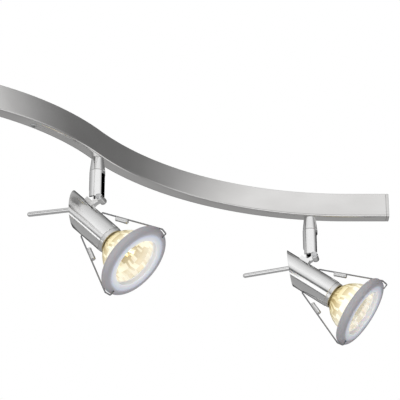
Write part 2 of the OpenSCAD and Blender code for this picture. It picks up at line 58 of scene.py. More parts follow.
RAIL_W, RAIL_H, RAIL_WALL, RAIL_EDGE_R = 12.7, 25.0, 1.2, 2.5
INNER_BEND_R, OUTER_BEND_R, BEND = 250.0, 280.0, math.radians(60)
END_STRAIGHT, HALF_GAP, CAP_T = 40.0, 30.0, 3.0
CANOPY_R, CANOPY_H, CANOPY_WALL, CANOPY_EDGE_R = 75.0, 34.0, 1.2, 6.0
CANOPY_SCREW_Y = 58.0
RAIL_SCREW_AT = 413.0
HEADS_AT = (78.0, 327.0)
FERRULE_H, FERRULE_TOP_R = 13.6, 5.7
STEM_R, STEM_L, STEM_SLOT, STEM_BACK, BACK_OPENING = 7.2, 25.8, 8.4, 2.5, 9.0
STEM_TOP = -FERRULE_H - 0.3
PIVOT_FORWARD, PIVOT_BELOW = 4.3, 1.7
PIVOT_Z = STEM_TOP - STEM_L - PIVOT_BELOW
BOSS_R, BOSS_W, PIVOT_SCREW_R = 3.2, 11.6, 1.5
TUBE_DROP, TUBE_R, TUBE_BORE = 22.9, 13.4, 12.2
TUBE_FRONT, TUBE_REAR, SLANT = 36.0, 26.5, math.radians(43)
SADDLE_L, SADDLE_TOP = 10.0, 3.0
CAP_RECESS, REAR_CAP_T = 2.5, 2.0
ROD_R, ROD_L = 2.2, 46.5
LAMP_R, LAMP_DEPTH, LAMP_FRONT, LAMP_WALL = 25.2, 30.0, 68.0, 1.6
NECK_R = 7.4
RING_R, RING_OPENING_R, RING_T, RING_LIP, RING_EDGE_R = 36.0, 23.5, 8.0, 5.1, 3.5
RING_FRONT = LAMP_FRONT + 0.15 + RING_LIP
RING_BACK = RING_FRONT - RING_T
COLLAR_FRONT = TUBE_FRONT + 4.0
HOLDER_FRONT = COLLAR_FRONT - 14.0
CLIP_R, CLIP_FOOT, CLIP_FOOT_R, CLIP_RISE = 0.7, 11.0, 10.7, 1.0
GRIP_R, GRIP_L, GRIP_AT = 2.3, 12.5, 21.5
NIPPLE_R, NIPPLE_BORE_R = 3.0, 1.7
CABLE_SIDE, CABLE_Z = 3.5, -13.2
OUTER_ARC = OUTER_BEND_R * BEND
SADDLE_FRONT, SADDLE_HALF_W, LUG_HALF_W = 2.6, 3.75, 2.5
HOOK_GAP, HOOK_DROP, CLIP_HOLE_R = 1.1, 5.0, 1.6
PIN_ASIDE = 2.65             # from the lamp's axis to each pin
HOLDER_R, HOLDER_L = 8.5, 16.0
NIPPLE_TOP, NIPPLE_BOTTOM = -15.8, STEM_TOP - RAIL_H - 6.3
HEX_R, HEX_T, LOCK_R, LOCK_T = 4.9, 4.0, 3.8, 3.0     # the nipples' hexagon and lock nuts
DOORWAY_W, DOORWAY_H = 13.3, 25.3                     # the canopy's openings for the rail
CAP_SEAT = 0.12              # how far an end cap's face stops short of its rail


# ---------------------------------------------------------------- meshes

def closed(mesh):
    """Merges doubles and turns the faces outwards."""
    work = bmesh.new()
    work.from_mesh(mesh)
    bmesh.ops.remove_doubles(work, verts=work.verts, dist=1e-5)
    bmesh.ops.recalc_face_normals(work, faces=work.faces)
    work.to_mesh(mesh)
    work.free()
    return mesh


def shell(verts, faces):
    """A mesh from points and faces, with doubles merged and faces pointing outwards."""
    mesh = bpy.data.meshes.new("shell")
    mesh.from_pydata([tuple(v) for v in verts], [], faces)
    return closed(mesh)


def grid_faces(rows, columns, close_rows, close_columns):
    faces = []
    for r in range(rows if close_rows else rows - 1):
        for c in range(columns if close_columns else columns - 1):
            a, b = r * columns + c, r * columns + (c + 1) % columns
            above = (r + 1) % rows * columns
            faces.append((a, b, above + (c + 1) % columns, above + c))
    return faces


def lathe(profile, steps=72, turn=0.0):
    """Turns a closed profile of [along X, radius] points round the X axis."""
    angles = [turn + 2 * math.pi * k / steps for k in range(steps)]
    verts = [(x, r * math.cos(a), r * math.sin(a)) for x, r in profile for a in angles]
    on_axis = profile[0][1] < 1e-6 and profile[-1][1] < 1e-6
    return shell(verts, grid_faces(len(profile), steps, not on_axis, True))


def prism(outline, low, high):
    """Pushes an outline of [y, z] points along X from low to high."""
    n = len(outline)
    verts = [(x, y, z) for x in (low, high) for y, z in outline]
    faces = [(k, (k + 1) % n, n + (k + 1) % n, n + k) for k in range(n)]
    return shell(verts, faces + [tuple(range(n))[::-1], tuple(range(n, 2 * n))])


def block(low, high):
    outline = [(low[1], low[2]), (high[1], low[2]), (high[1], high[2]), (low[1], high[2])]
    return prism(outline, low[0], high[0])


def arc(centre, radius, start, end, steps):
    """Points on an arc, from start to end in degrees."""
    return [(centre[0] + radius * math.cos(a), centre[1] + radius * math.sin(a))
            for a in (math.radians(start + (end - start) * k / steps) for k in range(steps + 1))]


def rod(radius, low, high, edge=0.0, steps=48):
    """A round bar along X with its two edges eased."""
    return lathe([(low, 0), (low, radius - edge), (low + edge, radius), (high - edge, radius),
                  (high, radius - edge), (high, 0)], steps)


def moved(mesh, matrix):
    mesh.transform(matrix)
    if matrix.determinant() < 0:
        mesh.flip_normals()
    return mesh


def copied(mesh, matrix=None):
    other = mesh.copy()
    return moved(other, matrix) if matrix else other


def joined(*meshes):
    """One mesh that holds several closed shells."""
    work = bmesh.new()
    for mesh in meshes:
        work.from_mesh(mesh)
    whole = bpy.data.meshes.new("joined")
    work.to_mesh(whole)
    work.free()
    return whole


def evaluated(holder):
    """The mesh that an object's modifiers give, with the object removed."""
    graph = bpy.context.evaluated_depsgraph_get()
    mesh = bpy.data.meshes.new_from_object(holder.evaluated_get(graph))
    bpy.data.objects.remove(holder)
    return mesh


def temporary(mesh):
    holder = bpy.data.objects.new("work", mesh)
    bpy.context.scene.collection.objects.link(holder)
    return holder


def combined(mesh, others, operation):
    """Adds, cuts or intersects other meshes, one at a time."""
    for other in others:
        holder, tool = temporary(mesh), temporary(other)
        change = holder.modifiers.new("change", "BOOLEAN")
        change.operation, change.solver, change.object = operation, "EXACT", tool
        mesh = evaluated(holder)
        bpy.data.objects.remove(tool)
    return mesh


def cut(mesh, *others):
    return combined(mesh, others, "DIFFERENCE")


def added(mesh, *others):
    return combined(mesh, others, "UNION")


def eased(mesh, width, angle=40, segments=2):
    """Rounds a mesh's sharp edges."""
    holder = temporary(mesh)
    bevel = holder.modifiers.new("ease", "BEVEL")
    bevel.width, bevel.segments, bevel.limit_method = width, segments, "ANGLE"
    bevel.angle_limit = math.radians(angle)
    bevel.use_clamp_overlap = True
    return evaluated(holder)


def keep_place(mesh):
    """Keeps each point's place on its own piece, in millimetres, for patterns that follow the piece."""
    if "place" not in mesh.attributes:
        place = mesh.attributes.new("place", "FLOAT_VECTOR", "POINT")
        place.data.foreach_set("vector", [x for v in mesh.vertices for x in v.co])
    return mesh


def piece(name, mesh, finish, body, replaced=None, to_frame=None, smooth=32):
    """Puts a mesh into the frame as a named piece that rides on a body."""
    mesh = keep_place(mesh.copy())
    mesh.name = name
    moved(mesh, to_frame or Matrix.Scale(MM, 4))
    mesh.materials.clear()
    mesh.materials.append(finish)
    if smooth:
        mesh.shade_smooth()
        mesh.set_sharp_from_angle(angle=math.radians(smooth))
    else:
        mesh.shade_flat()
    thing = bpy.data.objects.new(name, mesh)
    bpy.context.scene.collection.objects.link(thing)
    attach(thing, body)
    if replaced:
        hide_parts(replaced)
    return thing


# ---------------------------------------------------------------- node trees

class Nodes:
    """A node tree that is being made, with short ways to add its nodes."""

    def __init__(self, tree):
        self.tree = tree

    def node(self, kind, inputs=None, **settings):
        made = self.tree.nodes.new(kind)
        for setting, value in settings.items():
            setattr(made, setting, value)
        for socket, value in (inputs or {}).items():
            if isinstance(value, bpy.types.NodeSocket):
                self.tree.links.new(value, made.inputs[socket])
            else:
                made.inputs[socket].default_value = value
        return made

    def math(self, operation, a, b=0.0, clamp=False):
        return self.node("ShaderNodeMath", {0: a, 1: b}, operation=operation, use_clamp=clamp).outputs[0]

    def range(self, value, low, high, to_low, to_high, **settings):
        return self.node("ShaderNodeMapRange", {"Value": value, "From Min": low, "From Max": high,
                                                "To Min": to_low, "To Max": to_high},
                         **settings).outputs["Result"]

    def mix(self, share, first, second, **settings):
        """The first colour, with a share of the second."""
        return self.node("ShaderNodeMix", {"Factor": share, 6: first, 7: second}, data_type="RGBA",
                         **settings).outputs[2]

    def ramp(self, value, *stops):
        """Colours between [position, (red, green, blue)] stops."""
        made = self.node("ShaderNodeValToRGB", {"Fac": value})
        marks = made.color_ramp.elements
        while len(marks) < len(stops):
            marks.new(0.5)
        for mark, (position, colour) in zip(marks, stops):
            mark.position, mark.color = position, (*colour, 1)
        return made.outputs["Color"]


def shape_tree(name, **sockets):
    """An empty Geometry Nodes tree with its input sockets, and what they give."""
    tree = bpy.data.node_groups.new(name, "GeometryNodeTree")
    for socket, kind in sockets.items():
        tree.interface.new_socket(socket, in_out="INPUT", socket_type="NodeSocket" + kind)
    tree.interface.new_socket("Made", in_out="OUTPUT", socket_type="NodeSocketGeometry")
    nodes = Nodes(tree)
    return nodes, nodes.node("NodeGroupInput").outputs


def finish_tree(nodes, geometry, given):
    """Ends a tree: makes the geometry real and gives it its finish."""
    real = nodes.node("GeometryNodeRealizeInstances", {"Geometry": geometry}).outputs["Geometry"]
    finish = nodes.node("GeometryNodeSetMaterial", {"Geometry": real, "Material": given["Finish"]})
    nodes.node("NodeGroupOutput", {"Made": finish.outputs["Geometry"]})
    return nodes.tree


def sweep_tree():
    """Sweeps the Section along the input path, and keeps the distance along it."""
    nodes, given = shape_tree("section_along_path", Path="Geometry", Section="Object", Finish="Material")
    path = nodes.node("GeometryNodeMeshToCurve", {"Mesh": given["Path"]}).outputs["Curve"]
    upright = nodes.node("GeometryNodeSetCurveNormal", {"Curve": path}, mode="Z_UP").outputs["Curve"]
    length = nodes.node("GeometryNodeSplineParameter").outputs["Length"]
    along = nodes.node("GeometryNodeStoreNamedAttribute",
                       {"Geometry": upright, "Name": "along", "Value": length}, data_type="FLOAT")
    section = nodes.node("GeometryNodeObjectInfo", {"Object": given["Section"]}).outputs["Geometry"]
    outline = nodes.node("GeometryNodeMeshToCurve", {"Mesh": section}).outputs["Curve"]
    sweep = nodes.node("GeometryNodeCurveToMesh", {"Curve": along.outputs["Geometry"],
                                                   "Profile Curve": outline, "Fill Caps": True})
    return finish_tree(nodes, sweep.outputs["Mesh"], given)


def ring_tree():
    """Sets copies of the input shape round the X axis."""
    nodes, given = shape_tree("copies_round_axis", Shape="Geometry", Count="Int", Radius="Float",
                              Finish="Material")
    share = nodes.math("DIVIDE", nodes.node("GeometryNodeInputIndex").outputs["Index"], given["Count"])
    turn = nodes.math("MULTIPLY", share, 2 * math.pi)
    angle = nodes.node("ShaderNodeCombineXYZ", {"X": turn}).outputs["Vector"]
    offset = nodes.node("ShaderNodeCombineXYZ", {"Z": given["Radius"]}).outputs["Vector"]
    place = nodes.node("ShaderNodeVectorRotate", {"Vector": offset, "Rotation": angle},
                       rotation_type="EULER_XYZ").outputs["Vector"]
    spots = nodes.node("GeometryNodePoints", {"Count": given["Count"], "Position": place}).outputs["Points"]
    copies = nodes.node("GeometryNodeInstanceOnPoints",
                        {"Points": spots, "Instance": given["Shape"], "Rotation": angle})
    return finish_tree(nodes, copies.outputs["Instances"], given)


def through_tree(mesh, tree, **inputs):
    """The plain mesh that a node tree makes from a mesh."""
    holder = temporary(mesh)
    change = holder.modifiers.new("tree", "NODES")
    change.node_group = tree
    sockets = {s.name: s.identifier for s in tree.interface.items_tree if s.in_out == "INPUT"}
    for name, value in inputs.items():
        change[sockets[name.replace("_", " ")]] = value
    return evaluated(holder)


def line_mesh(points, closed=False):
    """Points joined by edges, as a path or a section."""
    mesh = bpy.data.meshes.new("line")
    last = len(points)
    edges = [(k, (k + 1) % last) for k in range(last if closed else last - 1)]
    mesh.from_pydata([tuple(p) if len(p) == 3 else (p[0], p[1], 0) for p in points], edges, [])
    return mesh


def swept(points, section, finish):
    """Sweeps a closed section of [across, up] points along a path of points, all in millimetres."""
    outline = temporary(line_mesh([(-across, -up) for across, up in section], closed=True))
    mesh = through_tree(line_mesh(points), SWEEP, Section=outline, Finish=finish)
    bpy.data.objects.remove(outline)
    return closed(mesh)


def round_section(radius, sides=16):
    return [(radius * math.cos(2 * math.pi * k / sides), radius * math.sin(2 * math.pi * k / sides))
            for k in range(sides)]


def bent(points, radius, steps=6):
    """A path through corner points, with each corner turned at a radius."""
    points = [Vector(p) for p in points]
    path = [points[0]]
    for before, corner, after in zip(points, points[1:], points[2:]):
        a, b = (before - corner).normalized(), (after - corner).normalized()
        half = a.angle(b) / 2
        room = 0.45 * min((before - corner).length, (after - corner).length)
        reach = min(radius / math.tan(half), room)
        start, end = corner + a * reach, corner + b * reach
        for k in range(steps + 1):
            t = k / steps
            path.append(start * (1 - t) ** 2 + corner * 2 * t * (1 - t) + end * t ** 2)
    return path + [points[-1]]


# ---------------------------------------------------------------- finishes

class Finish(Nodes):
    """A material that is being made."""

    def __init__(self, name, **sockets):
        self.material = bpy.data.materials.new(name)
        self.material.use_nodes = True
        super().__init__(self.material.node_tree)
        self.shader = self.tree.nodes["Principled BSDF"]
        for socket, value in sockets.items():
            self.shader.inputs[socket.replace("_", " ")].default_value = value

    def set(self, socket, source):
        self.tree.links.new(source, self.shader.inputs[socket])

    def attribute(self, name, output):
        return self.node("ShaderNodeAttribute", attribute_name=name).outputs[output]

    def parts(self):
        """Where a point is on its own piece, as X, Y and Z."""
        return self.node("ShaderNodeSeparateXYZ", {"Vector": self.attribute("place", "Vector")}).outputs

    def scaled(self, vector, scale):
        return self.node("ShaderNodeMapping", {"Vector": vector, "Scale": scale}).outputs["Vector"]

    def place(self, scale):
        """Where a point is on its own piece, stretched for a pattern."""
        return self.scaled(self.attribute("place", "Vector"), scale)

    def spot(self, scale):
        """Where a point is in the frame at rest, in millimetres, for a node that keeps its own mesh."""
        source = self.node("ShaderNodeTexCoord").outputs["Object"]
        return self.scaled(source, [s / MM for s in scale])

    def noise(self, vector, detail=3.0, roughness=0.5):
        return self.node("ShaderNodeTexNoise", {"Vector": vector, "Scale": 1.0, "Detail": detail,
                                                "Roughness": roughness}).outputs["Fac"]

    def bump(self, height, distance, strength=1.0):
        made = self.node("ShaderNodeBump", {"Height": height, "Distance": distance, "Strength": strength})
        self.set("Normal", made.outputs["Normal"])

    def radius(self):
        """Distance from the lamp tube's axis."""
        parts = self.parts()
        height = self.math("ADD", parts["Z"], TUBE_DROP)
        across = self.node("ShaderNodeCombineXYZ", {"X": parts["Y"], "Y": height}).outputs["Vector"]
        return self.node("ShaderNodeVectorMath", {0: across}, operation="LENGTH").outputs["Value"]


def grey(level, warm=0.0):
    return (level * (1 + warm), level, level * (1 - warm))


def plated(name, vector_of, tone, rough, grain, grain_depth, warm=0.0, painted_shade=None):
    """Plated metal: grain lines, clouded sheen and fine scratches, and painted shade (near black) where the
    given mask says so.
    """
    finish = Finish(name, Metallic=1.0)
    lines = finish.noise(vector_of(finish, grain), 4.0, 0.6)
    clouds = finish.noise(vector_of(finish, (0.05, 0.05, 0.05)), 2.0)
    scratches = finish.noise(vector_of(finish, (0.4, 2.5, 2.5)), 8.0, 0.75)
    worn = finish.math("MULTIPLY", finish.range(scratches, 0.62, 0.75, 0, 1), 0.5, True)
    shade = finish.math("ADD", finish.math("MULTIPLY", lines, 0.5), finish.math("MULTIPLY", clouds, 0.5))
    colour = finish.ramp(shade, (0.3, grey(tone * 0.93, warm)), (0.7, grey(tone * 1.05, warm)))
    # painted shade: near black where the mask is 1, standing in for the shade inside a recess
    if painted_shade:
        colour = finish.mix(painted_shade(finish), colour, (0.02, 0.02, 0.022, 1))
    finish.set("Base Color", colour)
    matt = finish.math("ADD", finish.range(shade, 0.3, 0.7, rough * 0.8, rough * 1.25),
                       finish.math("MULTIPLY", worn, 0.1))
    finish.set("Roughness", matt)
    finish.bump(lines, grain_depth, 0.35)
    return finish.material


def painted_slot_shade(finish):
    """1 inside the stem's slot, where painted shade makes the metal near black, and 0 elsewhere."""
    parts = finish.parts()
    width = finish.math("LESS_THAN", finish.math("ABSOLUTE", parts["Y"]), STEM_SLOT / 2 + 0.03)
    depth = finish.math("GREATER_THAN", parts["X"], STEM_BACK - STEM_R - 0.03)
    below_disc = finish.math("LESS_THAN", parts["Z"], STEM_TOP - 2.97)
    above_fork = finish.math("GREATER_THAN", parts["Z"], PIVOT_Z + BOSS_R)
    return finish.math("MULTIPLY", finish.math("MULTIPLY", width, depth),
                       finish.math("MULTIPLY", below_disc, above_fork))


def rail_finish():
    """Satin nickel brushed along the rail, from the distance along the path and the height."""
    finish = Finish("satin_nickel_rail", Metallic=1.0)
    along = finish.attribute("along", "Fac")
    parts = finish.parts()
    lay = finish.node("ShaderNodeCombineXYZ", {"X": along, "Y": parts["Z"], "Z": parts["Y"]}).outputs[0]
    lines = finish.noise(finish.scaled(lay, (0.02, 5.0, 0.01)), 5.0, 0.65)
    clouds = finish.noise(finish.scaled(lay, (0.02, 0.03, 0.02)), 2.0)
    finish.set("Base Color", finish.ramp(clouds, (0.3, grey(0.63, 0.012)), (0.7, grey(0.7, 0.008))))
    finish.set("Roughness", finish.range(lines, 0.3, 0.7, 0.13, 0.22))
    finish.bump(lines, 0.00003, 0.3)
    return finish.material


def plain_finish(name, stops, rough, grain, depth, metallic=0.0, vector_of=Finish.place, **sockets):
    """A moulded, cast or turned finish whose colour and gloss vary a little."""
    finish = Finish(name, Metallic=metallic, **sockets)
    speckle = finish.noise(vector_of(finish, grain), 6.0, 0.6)
    finish.set("Base Color", finish.ramp(speckle, (0.3, stops[0]), (0.7, stops[1])))
    finish.set("Roughness", finish.range(speckle, 0.3, 0.7, rough[0], rough[1]))
    finish.bump(speckle, depth, 0.4)
    return finish.material


def frosted_finish():
    """Thick glass, etched on its skin: whiter towards the opening by painted light, greyer towards the outside
    by painted shade, and a painted glow.
    """
    finish = Finish("frosted_glass", IOR=1.45, Transmission_Weight=0.12, Subsurface_Weight=0.2,
                    Subsurface_Scale=0.004)
    parts = finish.parts()
    # painted light and shade: bluish white near the opening, grey at the outer edge, by distance from the axis
    reach = finish.range(finish.radius(), RING_OPENING_R, RING_R, 0, 1)
    etched = finish.noise(finish.place((1.2, 1.2, 1.2)), 5.0, 0.7)
    mix = finish.math("ADD", reach, finish.math("MULTIPLY", finish.math("SUBTRACT", etched, 0.5), 0.45))
    tint = finish.ramp(mix, (0.0, (0.95, 0.97, 1.0)), (0.42, (0.80, 0.84, 0.96)), (0.6, (0.52, 0.51, 0.55)),
                       (0.95, (0.40, 0.39, 0.41)))
    finish.set("Base Color", tint)
    # painted glow: emission standing for the lamp's light through the glass, strongest near the opening and on
    # the front
    lit = finish.math("MULTIPLY", finish.range(mix, 0.0, 0.6, 0.16, 0.02),
                      finish.range(parts["X"], RING_BACK, RING_FRONT, 0.5, 1))
    finish.set("Emission Color", tint)
    finish.set("Emission Strength", lit)
    back = finish.range(parts["X"], RING_BACK, RING_FRONT, 0.6, 0.5)
    finish.set("Roughness", finish.math("ADD", back, finish.math("MULTIPLY", etched, 0.08)))
    finish.bump(etched, 0.00004, 0.3)
    return finish.material


def reflector_finish():
    """Coated reflector, lit: cream inside, warm yellow where light leaks through its facets outside."""
    finish = Finish("coated_reflector", Metallic=0.35, Roughness=0.22)
    parts = finish.parts()
    outside = finish.attribute("outside", "Fac")
    depth = finish.range(parts["X"], LAMP_FRONT - LAMP_DEPTH, LAMP_FRONT, 0, 1)
    inner = finish.ramp(depth, (0.0, (0.55, 0.38, 0.17)), (0.3, (0.90, 0.80, 0.50)),
                        (0.55, (1.0, 0.98, 0.86)), (1.0, (0.97, 0.97, 0.93)))
    outer = finish.ramp(depth, (0.0, (0.48, 0.38, 0.16)), (0.28, (0.88, 0.76, 0.42)),
                        (0.6, (1.0, 0.95, 0.74)), (1.0, (0.96, 0.94, 0.84)))
    facet = finish.attribute("facet", "Fac")
    deep = finish.range(depth, 0.25, 0.75, 1.0, 0.35)
    streak = finish.math("MULTIPLY", finish.range(facet, 0.3, 0.6, 0, 1), deep, True)
    tan = finish.mix(streak, finish.mix(outside, inner, outer), (0.50, 0.38, 0.17, 1))
    finish.set("Base Color", tan)
    # painted glow: emission standing for the capsule's light on the coating, stronger towards the rim
    finish.set("Emission Color", tan)
    finish.set("Emission Strength", finish.range(depth, 0.1, 0.7, 0.2, 0.42))
    return finish.material


def clear_finish(name, tint, rough, ior=1.47):
    finish = Finish(name, IOR=ior, Transmission_Weight=1.0)
    haze = finish.noise(finish.place((0.3, 0.3, 0.3)), 4.0)
    finish.set("Roughness", finish.range(haze, 0.3, 0.7, rough, rough * 2))
    finish.set("Base Color", finish.ramp(haze, (0.3, tint), (0.7, tuple(min(1, c * 1.02) for c in tint))))
    return finish.material


def glowing_finish(name, colour, strength):
    finish = Finish(name, Roughness=0.5)
    heat = finish.noise(finish.place((1, 1, 1)), 2.0)
    shade = finish.ramp(heat, (0.3, tuple(c * 0.85 for c in colour)), (0.7, colour))
    finish.set("Base Color", shade)
    finish.set("Emission Color", shade)
    finish.set("Emission Strength", finish.range(heat, 0.3, 0.7, strength * 0.8, strength))
    return finish.material


SWEEP, AROUND = sweep_tree(), ring_tree()

RAIL_SATIN = rail_finish()
SATIN = plated("satin_nickel", Finish.place, 0.66, 0.26, (0.3, 0.3, 9.0), 0.00003, 0.01)
BRIGHT = plated("polished_nickel", Finish.place, 0.80, 0.12, (6.0, 0.25, 0.25), 0.00002)
# the stem's finish has painted shade, near black, inside its slot
STEM_BRIGHT = plated("polished_nickel_stem", Finish.place, 0.80, 0.12, (6.0, 0.25, 0.25), 0.00002,
                     painted_shade=painted_slot_shade)
TUBE_BRIGHT = plated("polished_nickel_tube", Finish.place, 0.82, 0.13, (0.15, 2.5, 2.5), 0.00002)
ZINC = plated("zinc_plate", Finish.spot, 0.66, 0.36, (0.6, 0.6, 0.6), 0.00004, -0.02)
SCREW_ZINC = plated("zinc_screws", Finish.place, 0.62, 0.3, (4, 4, 4), 0.00002, -0.01)
ALUMINIUM = plated("turned_aluminium", Finish.place, 0.78, 0.3, (12.0, 0.2, 0.2), 0.00003)
BLACK_ZINC = plain_finish("black_zinc", ((0.05, 0.05, 0.055), (0.10, 0.10, 0.11)), (0.3, 0.42), (8, 0.4, 0.4),
                          0.00003, metallic=1.0)
WHITE_CASE = plain_finish("moulded_white_case", ((0.80, 0.80, 0.77), (0.84, 0.84, 0.82)), (0.45, 0.58),
                          (2.5, 2.5, 2.5), 0.00005)
SHEATH = plain_finish("black_cable_sheath", ((0.025, 0.025, 0.025), (0.045, 0.045, 0.045)), (0.42, 0.6),
                      (1.5, 4, 4), 0.00005)
CERAMIC = plain_finish("unglazed_ceramic", ((0.78, 0.75, 0.68), (0.86, 0.83, 0.76)), (0.55, 0.8),
                       (1.2, 1.2, 1.2), 0.00008)
WIRE = plain_finish("spring_wire", ((0.20, 0.20, 0.21), (0.34, 0.34, 0.35)), (0.2, 0.36), (0.3, 8, 8),
                    0.00002, metallic=1.0)
GRIP = plated("turned_grips", Finish.place, 0.72, 0.2, (0.4, 5.0, 5.0), 0.00002)
FROSTED = frosted_finish()
REFLECTOR = reflector_finish()
FRONT_GLASS = clear_finish("clear_front_glass", (0.98, 0.99, 0.98), 0.01)
QUARTZ = glowing_finish("lit_capsule", (1.0, 0.93, 0.75), 1.1)
FILAMENT = glowing_finish("filament", (1.0, 0.72, 0.35), 2.5)


# ---------------------------------------------------------------- rail and its fittings

def heading(s):
    """Direction of the right half rail at distance s from its end, as an angle from +X."""
    if s <= END_STRAIGHT:
        return 0.0
    if s <= END_STRAIGHT + OUTER_ARC:
        return (s - END_STRAIGHT) / OUTER_BEND_R
    return BEND - (s - END_STRAIGHT - OUTER_ARC) / INNER_BEND_R


END_X = (INNER_BEND_R + OUTER_BEND_R) * math.sin(BEND) + END_STRAIGHT
END_Y = (INNER_BEND_R + OUTER_BEND_R) * (1 - math.cos(BEND))
INNER_END = END_STRAIGHT + OUTER_ARC + (BEND - HALF_GAP / INNER_BEND_R) * INNER_BEND_R


def rail_point(s, aside=0.0, z=0.0):
    """A point beside the right half rail's centreline, at distance s from its end."""
    h = heading(s)
    if s <= END_STRAIGHT:
        x, y = END_X - s, END_Y
    elif s <= END_STRAIGHT + OUTER_ARC:
        x = END_X - END_STRAIGHT - OUTER_BEND_R * math.sin(h)
        y = END_Y - OUTER_BEND_R * (1 - math.cos(h))
    else:
        x, y = INNER_BEND_R * math.sin(h), INNER_BEND_R * (1 - math.cos(h))
    return (x - aside * math.sin(h), y + aside * math.cos(h), z)


def rail_path(start, end, aside=0.0, z=0.0, step=4.0):
    count = max(2, round(abs(end - start) / step))
    stops = [start + (end - start) * k / count for k in range(count + 1)]
    bends = [s for s in (END_STRAIGHT, END_STRAIGHT + OUTER_ARC) if min(start, end) < s < max(start, end)]
    stops = sorted([s for s in stops if all(abs(s - b) > 1 for b in bends)] + bends, reverse=start > end)
    return [rail_point(s, aside, z) for s in stops]


def rail_outline(steps=8):
    """The rail's closed outline, in [across, up] points, from its top left corner round the bottom."""
    w, e = RAIL_W / 2, RAIL_EDGE_R
    return ([(-w, 0)] + arc((e - w, e - RAIL_H), e, 180, 270, steps)
            + arc((w - e, e - RAIL_H), e, 270, 360, steps) + [(w, 0)])


def rail_section():
    """The rail's wall as a closed section, open towards the ceiling, with eased lips."""
    inside, floor, lip = RAIL_W / 2 - RAIL_WALL, RAIL_WALL - RAIL_H, 0.35
    outline = rail_outline()
    outline[0] = (-RAIL_W / 2, -lip)
    outline[-1] = (RAIL_W / 2, -lip)
    return outline + [(RAIL_W / 2 - lip, 0), (inside, 0), (inside, floor), (-inside, floor), (-inside, 0),
                      (lip - RAIL_W / 2, 0)]


FLIP = Matrix.Scale(-1, 4, (1, 0, 0))
DOWN = Matrix(((0, 0, 1, 0), (0, 1, 0, 0), (-1, 0, 0, 0), (0, 0, 0, 1)))     # turns +X to point down


def at_rail(s, z, side=1):
    """Places a piece made along X at a point under or in the rail, with its X axis pointing down."""
    x, y = rail_point(s)[:2]
    return Matrix.Translation((side * x, y, z)) @ Matrix.Rotation(side * heading(s), 4, "Z") @ DOWN


def pointing_down(x, y, z):
    return Matrix.Translation((x, y, z)) @ DOWN


def on_side(mesh, side):
    """A mesh made for the right half rail (side 1), flipped for the left one (side -1)."""
    return moved(mesh, FLIP) if side < 0 else mesh


def make_rails():
    section = rail_section()
    for name, side in (("right_rail", 1), ("left_rail", -1)):
        mesh = on_side(keep_place(swept(rail_path(CAP_T, INNER_END), section, RAIL_SATIN)), side)
        piece(name + "_channel", mesh, RAIL_SATIN, "ceiling_bar", name, smooth=25)


def make_end_caps():
    face = eased(prism(rail_outline(10), 0, CAP_T - CAP_SEAT), 0.45, 50, 3)
    plug = RAIL_W / 2 - RAIL_WALL - 0.15
    insert = eased(block((-8, -plug, RAIL_WALL + 0.15 - RAIL_H), (0.2, plug, -11.2)), 0.4)
    cap = joined(face, insert)
    place = Matrix.Translation((END_X - CAP_T + CAP_SEAT, END_Y, 0))
    both = joined(copied(cap, place), copied(cap, FLIP @ place))
    piece("end_caps_pressed", both, SATIN, "ceiling_bar", "end_caps")


def pan_screw(head_r, head_h, shank_r, length):
    """A pan-head screw along -X, head down at x above 0, with a cross recess and a threaded shank."""
    crown = [(head_h * math.sin(a), head_r * (0.25 + 0.75 * math.cos(a))) for a in
             (math.radians(10 * k) for k in range(10))]
    thread = []
    turns = int((length - 1) / 0.8)
    for k in range(turns):
        x = -length + 0.8 * k
        thread += [(x + 0.1, shank_r * 0.86), (x + 0.45, shank_r), (x + 0.55, shank_r)]
    mesh = lathe([(-length, 0)] + thread + [(0, shank_r * 0.9), (0, head_r)] + crown + [(head_h, 0)], 32)
    arm, depth = head_r * 0.55, head_h * 0.6
    slots = [block((head_h - depth, -arm, -0.4), (head_h + 1, arm, 0.4)),
             block((head_h - depth, -0.4, -arm), (head_h + 1, 0.4, arm))]
    return cut(mesh, *slots)


def make_screws():
    machine = pan_screw(3.5, 2.2, 2.0, 6.2)
    long_machine = pan_screw(3.5, 2.2, 2.0, 9.0)
    rail_screw = pan_screw(2.9, 1.3, 1.6, 25.0)
    tongue_s = INNER_END - 17.5
    made = [copied(long_machine, pointing_down(0, 0, RAIL_WALL - RAIL_H))]
    for side in (-1, 1):
        made.append(copied(machine, at_rail(tongue_s, -RAIL_H, side)))
        made.append(copied(rail_screw, at_rail(RAIL_SCREW_AT, -RAIL_H, side)))
        stud_profile = [(0, 0)]
        for k in range(48):
            stud_profile += [(0.8 * k + 0.05, 1.7), (0.8 * k + 0.4, 2.0)]
        stud = lathe(stud_profile + [(38.7, 1.7), (38.7, 0)], 24)
        made.append(copied(stud, pointing_down(0, side * CANOPY_SCREW_Y, -0.1)))
    piece("screws_set", joined(*made), SCREW_ZINC, "ceiling_bar", "screws")


def make_cap_nuts():
    body = ([(0, 2.05), (0, 4.1), (0.4, 4.3), (4.6, 4.3)] + arc((5.0, 0), 4.4, 80, 0, 10)[:-1]
            + [(9.4, 0), (5.2, 0), (5.2, 2.05)])
    nut = lathe(body, 48)
    rib = eased(block((0.9, -0.14, -0.15), (4.0, 0.14, 0.22)), 0.06)
    whole = joined(nut, through_tree(rib, AROUND, Count=36, Radius=4.25, Finish=SATIN))
    both = [copied(whole, pointing_down(0, side * CANOPY_SCREW_Y, -CANOPY_H)) for side in (-1, 1)]
    piece("cap_nuts_knurled", joined(*both), SATIN, "ceiling_bar", "cap_nuts")


